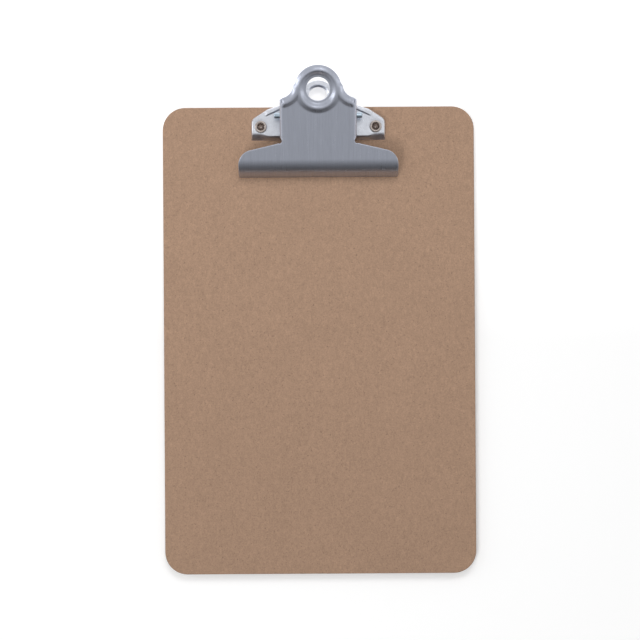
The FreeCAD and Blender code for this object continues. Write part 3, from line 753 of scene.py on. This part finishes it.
def build_base_mesh(thickness):
    """The base plate as one sheet: its flat from a filled outline, and its skirt from a two-parameter
    strip on the same outline, each line of which is a Bezier curve that starts level and falls to the
    foot."""
    loop = resample(mirrored_loop(base_outline()), 0.36)
    for _ in range(2):
        loop = 0.25 * np.roll(loop, 1, 0) + 0.5 * loop + 0.25 * np.roll(loop, -1, 0)
    hang_hole = circle((0, 0), BASE_HOLE_R + EDGE_ROUND, 0.3) * [1, math.cos(BASE_HANDLE_SLOPE)]
    holes = [hang_hole + [0, TOP_Y + BASE_HOLE_PAST_TOP]]
    inner_x = LEVER_HALF_W - 2 * thickness - EAR_GAP
    for side in (-1, 1):
        holes.append(circle((side * RIVET_X, RIVET_Y), RIVET_HOLE_R + EDGE_ROUND, 0.3))
        low, high = PIN_Y - EAR_HALF_W, TOP_Y - 2.4
        window = np.array([[EAR_WINDOW_X, low], [inner_x, low], [inner_x, high], [EAR_WINDOW_X, high]])
        holes.append(resample(window * [side, 1], 0.4))
    loops = metal_on_left([loop] + holes)
    loop = loops[0]
    points, triangles = blank(loops, 0.45, rib_creases())
    rim, count = len(loop), len(points)

    def surface(p):
        return np.concatenate([p, base_top(p)[:, None]], 1)

    top = surface(points)
    normal = surface_normal(surface, points)
    follow = np.roll(loop, -1, 0) - np.roll(loop, 1, 0)
    out = np.stack([follow[:, 1], -follow[:, 0]], 1)
    out /= np.linalg.norm(out, axis=1)[:, None]
    reach, drop, level = base_skirt(loop, out)
    rows = 12
    s = np.linspace(0, 1, rows + 1)[1:, None]
    share = 2 * s * (1 - s) * level + s * s
    plan = loop[None] + reach[None] * share[:, :, None]
    outer = np.concatenate([plan, (top[:rim, 2] - drop * s * s)[:, :, None]], 2)
    stack = np.concatenate([top[None, :rim], outer], 0)
    strip_normal = np.cross(np.gradient(stack, axis=0), np.roll(stack, -1, 1) - np.roll(stack, 1, 1))
    strip_normal /= np.linalg.norm(strip_normal, axis=2)[:, :, None]
    normal[:rim] += strip_normal[0]
    normal[:rim] /= np.linalg.norm(normal[:rim], axis=1)[:, None]
    bottom = top - thickness * normal
    inner = outer - thickness * strip_normal[1:]
    inner[:, :, 2] = np.maximum(inner[:, :, 2], outer[:, :, 2].min(0)[None, :])
    lengths = np.array([len(hole) for hole in loops[1:]])
    spans = list(zip(rim + np.cumsum(lengths) - lengths, lengths))
    walls, wall_faces = rim_walls(top, bottom, normal, spans)
    j = np.arange(rim)[None]
    strip = 2 * count + len(walls) + np.arange(rows * rim).reshape(rows, rim)
    outer_index = np.vstack([j, strip])
    inner_index = np.vstack([j + count, strip + rows * rim])
    quads = []
    for index, flip in ((outer_index, False), (inner_index, True)):
        after = np.roll(index, -1, 1)
        sides = np.stack([index[:-1], index[1:], after[1:], after[:-1]], -1).reshape(-1, 4)
        quads.append(sides[:, ::-1] if flip else sides)
    ends = outer_index[-1], inner_index[-1]
    foot = np.stack([ends[0], ends[1], np.roll(ends[1], -1), np.roll(ends[0], -1)], 1)
    made = np.vstack([top, bottom, walls, outer.reshape(-1, 3), inner.reshape(-1, 3)])
    return made, [triangles, triangles[:, ::-1] + count, wall_faces, quads[0], quads[1], foot]


def ear_mesh(side, thickness):
    """One ear: a flat outline with the pin's hole, as thick as the sheet, standing in the X direction.
    Its two slanted edges bow out by 0.05, so that no three of their points are in line."""
    foot = BASE_TOP_Z - 0.6
    eye = arc_points((PIN_Y, PIN_Z), EAR_EYE_R, -65, 65, 0.35)
    near, far = (np.array([PIN_Y + side_y, BASE_TOP_Z + 1.5]) for side_y in (-EAR_HALF_W, EAR_HALF_W))
    t = np.linspace(0, 1, 24)[1:-1, None]
    bow = np.array([0.2, 0]) * t * (1 - t)
    up = near + (eye[0] - near) * t - bow
    down = eye[-1] + (far - eye[-1]) * t + bow
    outline = np.vstack([[[near[0], foot], near], up, eye, down, [far, [far[0], foot]]])[::-1]
    loops = metal_on_left([resample(outline, 0.5), circle((PIN_Y, PIN_Z), PIN_R + EDGE_ROUND, 0.3)])
    points, triangles = blank(loops, 0.6)
    x = LEVER_HALF_W - thickness - EAR_GAP

    def surface(p):
        return np.stack([np.full(len(p), side * x if side > 0 else -x + thickness), p[:, 0], p[:, 1]], 1)

    return pressed(points, triangles, loops, surface, thickness)


def build_base(sizes, material):
    thickness = sizes.sheet / MM
    parts = [build_base_mesh(thickness), ear_mesh(-1, thickness), ear_mesh(1, thickness)]
    piece = make_object("base_plate_sheet", parts, material, "board", 50)
    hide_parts("base_plate")


# ---------------------------------------------------------------- turned pieces and spring


NOSE_R = 0.5


def build_pin(material):
    """Pin with a rounded edge and a slightly domed face at each end."""
    end = PIN_HIGH[0]
    a = np.linspace(0, math.pi / 2, 8)
    nose = np.stack([PIN_R - NOSE_R + NOSE_R * np.sin(a), end - 0.62 + NOSE_R * np.cos(a)], 1)
    face = np.array([[0, end], [0.45 * PIN_R, end - 0.04]])
    right = np.vstack([face, nose])
    profile = np.vstack([right, right[::-1] * [1, -1]])
    made = lathe(profile[::-1], "X", (0, PIN_Y, PIN_Z), 48)
    piece = make_object("pin_turned", [made], material, "board")
    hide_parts("hinge_pin")


RIVET_SHANK_R = 2.2
ROLL_MIDDLE = 2.33
ROLL_HALF_W = 0.57
ROLL_H = 0.36


def rivet_profile():
    """Semi-tubular rivet: domed head below, shank, rolled ring on the plate, tapered bore with a cone at
    its end."""
    head_r = 0.5 * (RIVET_HIGH[0] - RIVET_LOW[0])
    head_h = -RIVET_LOW[2]
    ring_top = RIVET_HIGH[2]
    dome_r = (head_r ** 2 + head_h ** 2) / (2 * head_h)
    a = np.linspace(0, math.asin(head_r / dome_r) * 0.97, 14)
    dome = np.stack([dome_r * np.sin(a), dome_r - head_h - dome_r * np.cos(a)], 1)
    edge = np.array([[head_r, -0.04], [head_r - 0.05, 0.0], [RIVET_SHANK_R, 0.0],
                     [RIVET_SHANK_R, BASE_TOP_Z - 0.2]])
    b = np.linspace(-0.35, math.pi * 0.98, 14)
    roll = np.stack([ROLL_MIDDLE + ROLL_HALF_W * np.cos(b), ring_top - ROLL_H + ROLL_H * np.sin(b)], 1)
    bore = np.array([0, ring_top]) + [[1.74, -0.7], [1.66, -3.1], [1.35, -3.4], [0.5, -3.9], [0, -4.05]]
    return np.vstack([dome, edge, roll, bore])


def build_rivets(material):
    for side, name in ((-1, "left"), (1, "right")):
        made = lathe(rivet_profile(), "Z", (side * RIVET_X, RIVET_Y, 0), 56)
        piece = make_object("rivet_turned_" + name, [made], material, "board", 40)
        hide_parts("rivet_" + name)


SPRING_PIN_CLEAR = 0.35
SPRING_HALF_LENGTH = 8.2
SPRING_COILS = 10
SPRING_LEG = 7.4
SPRING_BASE_LEG = math.radians(20.9)
SPRING_LEVER_LEG = math.radians(35.4)
TIP_WIDTHS = (0.87, 0.55)
TIP_RING = 0.3
TIP = 0.42


def spring_path(wire_r):
    """Centre line of the spring: a leg at a tangent, a helix round the pin, and a leg at a tangent.

    The helix leaves the pin's underside and climbs along X; each leg carries on along the helix's own
    tangent.
    """
    mean_r = PIN_R + SPRING_PIN_CLEAR + wire_r
    turn = 2 * math.pi * SPRING_COILS + math.pi - SPRING_BASE_LEG - SPRING_LEVER_LEG
    a = np.linspace(0, turn, 460)
    x = SPRING_HALF_LENGTH * (2 * a / turn - 1)
    y = PIN_Y - mean_r * np.sin(a + SPRING_BASE_LEG)
    z = PIN_Z - mean_r * np.cos(a + SPRING_BASE_LEG)
    coil = np.stack([x, y, z], 1)
    first = coil[0] - coil[1]
    last = coil[-1] - coil[-2]
    s = np.linspace(0, SPRING_LEG, 16)[1:, None]
    start = coil[0] + s[::-1] * first / np.linalg.norm(first)
    end = coil[-1] + s * last / np.linalg.norm(last)
    return np.vstack([start, coil, end])


def tube(path, radius, count=14):
    """Round tube on a path: a circle in the plane of two normals square to it, with rounded ends.

    Each end narrows over two rings to a point a little past the path's end.
    """
    way = np.gradient(path, axis=0)
    way /= np.linalg.norm(way, axis=1)[:, None]
    first = np.array([1.0, 0, 0]) - way * way[:, :1]
    first /= np.linalg.norm(first, axis=1)[:, None]
    second = np.cross(way, first)
    ends = np.array([path[0] - TIP_RING * radius * way[0], path[-1] + TIP_RING * radius * way[-1]])
    tips = np.array([path[0] - TIP * radius * way[0], path[-1] + TIP * radius * way[-1]])
    centre = np.vstack([ends[:1], path, ends[1:]])
    size = np.full(len(centre), radius)
    size[[1, -2]] *= TIP_WIDTHS[0]
    size[[0, -1]] *= TIP_WIDTHS[1]
    first = np.vstack([first[:1], first, first[-1:]])[:, None, :]
    second = np.vstack([second[:1], second, second[-1:]])[:, None, :]
    a = np.linspace(0, 2 * math.pi, count, endpoint=False)[None, :, None]
    rings = centre[:, None, :] + size[:, None, None] * (first * np.cos(a) + second * np.sin(a))
    return np.vstack([rings.reshape(-1, 3), tips]), ring_faces(len(centre), count)


def build_spring(sizes, material):
    wire_r = 0.5 * sizes.wire / MM
    made = tube(spring_path(wire_r), wire_r)
    piece = make_object("spring_wire", [made], material, None, 60)
    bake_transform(piece)
    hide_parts("torsion_spring")


# ---------------------------------------------------------------- stage


def area_light(name, place, aim, size, power, colour=(1, 1, 1)):
    data = bpy.data.lights.new(name, "AREA")
    data.shape = "RECTANGLE"
    data.size, data.size_y = size
    data.energy = power
    data.color = colour
    lamp = bpy.data.objects.new(name, data)
    bpy.context.scene.collection.objects.link(lamp)
    lamp.location = place
    way = np.array(aim) - np.array(place)
    flat = math.hypot(way[0], way[1])
    lamp.rotation_euler = (math.atan2(flat, -way[2]), 0, math.atan2(-way[0], way[1]) if flat > 1e-6 else 0)
    return lamp


SKY = ((0.0, 0.05), (0.075, 0.15), (0.18, 0.36), (0.25, 0.47),
       (0.45, 0.72), (0.56, 0.76), (0.72, 0.64), (1.0, 0.85))



def build_world():
    """Studio surround: white behind the object and, in reflections, bright overhead, a little dimmer
    beyond the board's top end and dark beyond its foot."""
    world = bpy.data.worlds.new("studio")
    bpy.context.scene.world = world
    world.use_nodes = True
    tree = world.node_tree
    back = tree.nodes["Background"]
    place = add(tree, "ShaderNodeTexCoord")
    split = add(tree, "ShaderNodeSeparateXYZ", {0: place.outputs["Generated"]})
    along = add(tree, "ShaderNodeMapRange", {0: split.outputs["Y"], 1: -1.0, 2: 1.0}).outputs[0]
    ramp = add(tree, "ShaderNodeValToRGB", {0: along})
    stops = ramp.color_ramp.elements
    while len(stops) < len(SKY):
        stops.new(0.5)
    for stop, (position, level) in zip(stops, SKY):
        stop.position = position
        stop.color = (level, level, level, 1)
    path = add(tree, "ShaderNodeLightPath")
    shown = mix_colour(tree, path.outputs["Is Camera Ray"], ramp.outputs[0], (1, 1, 1, 1))
    tree.links.new(shown, back.inputs["Color"])
    dimmed = add(tree, "ShaderNodeMapRange", {0: path.outputs["Is Diffuse Ray"], 3: 1.0, 4: 0.67})
    tree.links.new(dimmed.outputs[0], back.inputs["Strength"])


FLOOR_HALF_W = 3.0


def build_floor():
    """Pale floor under the board, which takes its shadow.  It glows a little to the camera and in
    reflections, more so beyond the board's top end, and far from the board it turns white to the camera."""
    far = FLOOR_HALF_W
    z = (RIVET_LOW[2] - 0.01) * MM
    mesh = bpy.data.meshes.new("floor")
    corners = [(-far, -far, z), (far, -far, z), (far, far, z), (-far, far, z)]
    mesh.from_pydata(corners, [], [(0, 1, 2, 3)])
    material, tree, shader = new_material("floor")
    shader.inputs["Base Color"].default_value = (0.86, 0.86, 0.86, 1)
    shader.inputs["Roughness"].default_value = 0.9
    shader.inputs["Specular IOR Level"].default_value = 0.0
    path = add(tree, "ShaderNodeLightPath")
    seen = maths(tree, "MAXIMUM", path.outputs["Is Camera Ray"],
                 maths(tree, "MAXIMUM", path.outputs["Is Glossy Ray"], path.outputs["Is Transmission Ray"]))
    place = add(tree, "ShaderNodeTexCoord").outputs["Object"]
    along = add(tree, "ShaderNodeSeparateXYZ", {0: place}).outputs["Y"]
    glow = add(tree, "ShaderNodeMapRange", {0: along, 1: 0.0, 2: TOP_Y * MM, 3: 0.19, 4: 0.45})
    away = add(tree, "ShaderNodeVectorMath", {0: place}, operation="LENGTH")
    haze = add(tree, "ShaderNodeMapRange", {0: away.outputs["Value"], 1: 0.3, 2: 1.2, 3: 0.0, 4: 0.7})
    whiten = maths(tree, "MULTIPLY", path.outputs["Is Camera Ray"], haze.outputs[0])
    strength = maths(tree, "ADD", maths(tree, "MULTIPLY", seen, glow.outputs[0]), whiten)
    shader.inputs["Emission Color"].default_value = (1, 1, 1, 1)
    tree.links.new(strength, shader.inputs["Emission Strength"])
    mesh.materials.append(material)
    floor = bpy.data.objects.new("floor", mesh)
    bpy.context.scene.collection.objects.link(floor)


def build_camera():
    """Camera straight above, its foot a little above the board's middle, on a long lens."""
    data = bpy.data.cameras.new("camera")
    data.sensor_width = 36
    data.lens = 86.15
    camera = bpy.data.objects.new("camera", data)
    bpy.context.scene.collection.objects.link(camera)
    camera.location = (0.3 * MM, (TOP_Y - 104.3) * MM, (FRONT_Z + 750) * MM)
    camera.rotation_euler = (0, 0, math.radians(-0.35))
    bpy.context.scene.camera = camera


# ---------------------------------------------------------------- operators


class CLIPBOARD_OT_stage(bpy.types.Operator):
    """Make the floor, the lamps, the surround and the camera"""
    bl_idname = "clipboard.stage"
    bl_label = "Stage"

    def execute(self, context):
        build_camera()
        build_floor()
        build_world()
        middle = (0.0, 0.02, 0.0)
        area_light("key", (-0.45, -0.55, 1.05), middle, (0.5, 0.4), 5.4).visible_glossy = False
        area_light("back", (0.05, 0.85, 0.90), middle, (0.7, 0.4), 5.0).visible_glossy = False
        area_light("glow", (0.12, 0.62, 1.05), middle, (0.45, 0.35), 0.6).visible_diffuse = False
        area_light("right", (1.0, 0.15, 0.45), middle, (0.25, 0.9), 0.5)
        area_light("left", (-1.0, 0.25, 0.45), middle, (0.30, 0.9), 1.7)
        context.scene.view_settings.view_transform = "Standard"
        return {"FINISHED"}


class CLIPBOARD_OT_board(bpy.types.Operator):
    """Give the board its hardboard finish"""
    bl_idname = "clipboard.board"
    bl_label = "Board"

    def execute(self, context):
        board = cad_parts["board"]
        board.data.materials.clear()
        board.data.materials.append(hardboard(context.scene.clipboard_colours.board))
        return {"FINISHED"}


class CLIPBOARD_OT_base_plate(bpy.types.Operator):
    """Press the base plate with its ears, ribs and handle"""
    bl_idname = "clipboard.base_plate"
    bl_label = "Base plate"

    def execute(self, context):
        colours = context.scene.clipboard_colours
        mottle = shared_group("plating mottle", mottle_group)
        finish = steel("bright zinc", colours.plate, 0.35, mottle, 0.09, 0.6)
        build_base(context.scene.clipboard_sizes, finish)
        return {"FINISHED"}


class CLIPBOARD_OT_lever(bpy.types.Operator):
    """Press the clamp lever with its jaw, flanges, beads and ring"""
    bl_idname = "clipboard.lever"
    bl_label = "Clamp lever"

    def execute(self, context):
        colours, sizes = context.scene.clipboard_colours, context.scene.clipboard_sizes
        finish = steel("satin steel", colours.lever, 0.34, shared_group("brushed grain", grain_group),
                       0.16 * sizes.grain, 0.6 * sizes.grain)
        build_lever(sizes, finish)
        return {"FINISHED"}


class CLIPBOARD_OT_pin(bpy.types.Operator):
    """Turn the hinge pin"""
    bl_idname = "clipboard.pin"
    bl_label = "Hinge pin"

    def execute(self, context):
        colours = context.scene.clipboard_colours
        mottle = shared_group("plating mottle", mottle_group)
        build_pin(steel("pin steel", colours.pin, 0.22, mottle, 0.08, 0.3))
        return {"FINISHED"}


class CLIPBOARD_OT_rivets(bpy.types.Operator):
    """Turn the two rivets"""
    bl_idname = "clipboard.rivets"
    bl_label = "Rivets"

    def execute(self, context):
        colours = context.scene.clipboard_colours
        mottle = shared_group("plating mottle", mottle_group)
        build_rivets(steel("rivet steel", colours.rivet, 0.26, mottle, 0.12, 0.4))
        return {"FINISHED"}


class CLIPBOARD_OT_spring(bpy.types.Operator):
    """Wind the torsion spring"""
    bl_idname = "clipboard.spring"
    bl_label = "Torsion spring"

    def execute(self, context):
        colours, sizes = context.scene.clipboard_colours, context.scene.clipboard_sizes
        build_spring(sizes, steel("spring steel", colours.spring, 0.36,
                                  shared_group("brushed grain", grain_group), 0.2, 0.3))
        return {"FINISHED"}


class CLIPBOARD_PT_panel(bpy.types.Panel):
    """Buttons and values for the clipboard"""
    bl_idname = "CLIPBOARD_PT_panel"
    bl_label = "Clipboard"
    bl_space_type = "VIEW_3D"
    bl_region_type = "UI"
    bl_category = "Clipboard"

    def draw(self, context):
        for group in (context.scene.clipboard_sizes, context.scene.clipboard_colours):
            for key in group.bl_rna.properties.keys():
                if key not in ("rna_type", "name"):
                    self.layout.prop(group, key)
        for operator in OPERATORS:
            self.layout.operator(operator.bl_idname)


OPERATORS = (CLIPBOARD_OT_stage, CLIPBOARD_OT_board, CLIPBOARD_OT_base_plate, CLIPBOARD_OT_lever,
             CLIPBOARD_OT_pin, CLIPBOARD_OT_rivets, CLIPBOARD_OT_spring)
CLASSES = (ClipboardSizes, ClipboardColours) + OPERATORS + (CLIPBOARD_PT_panel,)


def register():
    for cls in CLASSES:
        bpy.utils.register_class(cls)
    bpy.types.Scene.clipboard_sizes = bpy.props.PointerProperty(type=ClipboardSizes)
    bpy.types.Scene.clipboard_colours = bpy.props.PointerProperty(type=ClipboardColours)


def unregister():
    del bpy.types.Scene.clipboard_colours
    del bpy.types.Scene.clipboard_sizes
    for cls in reversed(CLASSES):
        bpy.utils.unregister_class(cls)


def main():
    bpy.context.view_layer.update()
    register()
    for operator in OPERATORS:
        family, action = operator.bl_idname.split(".")
        getattr(getattr(bpy.ops, family), action)()


if __name__ == "__main__":
    main()
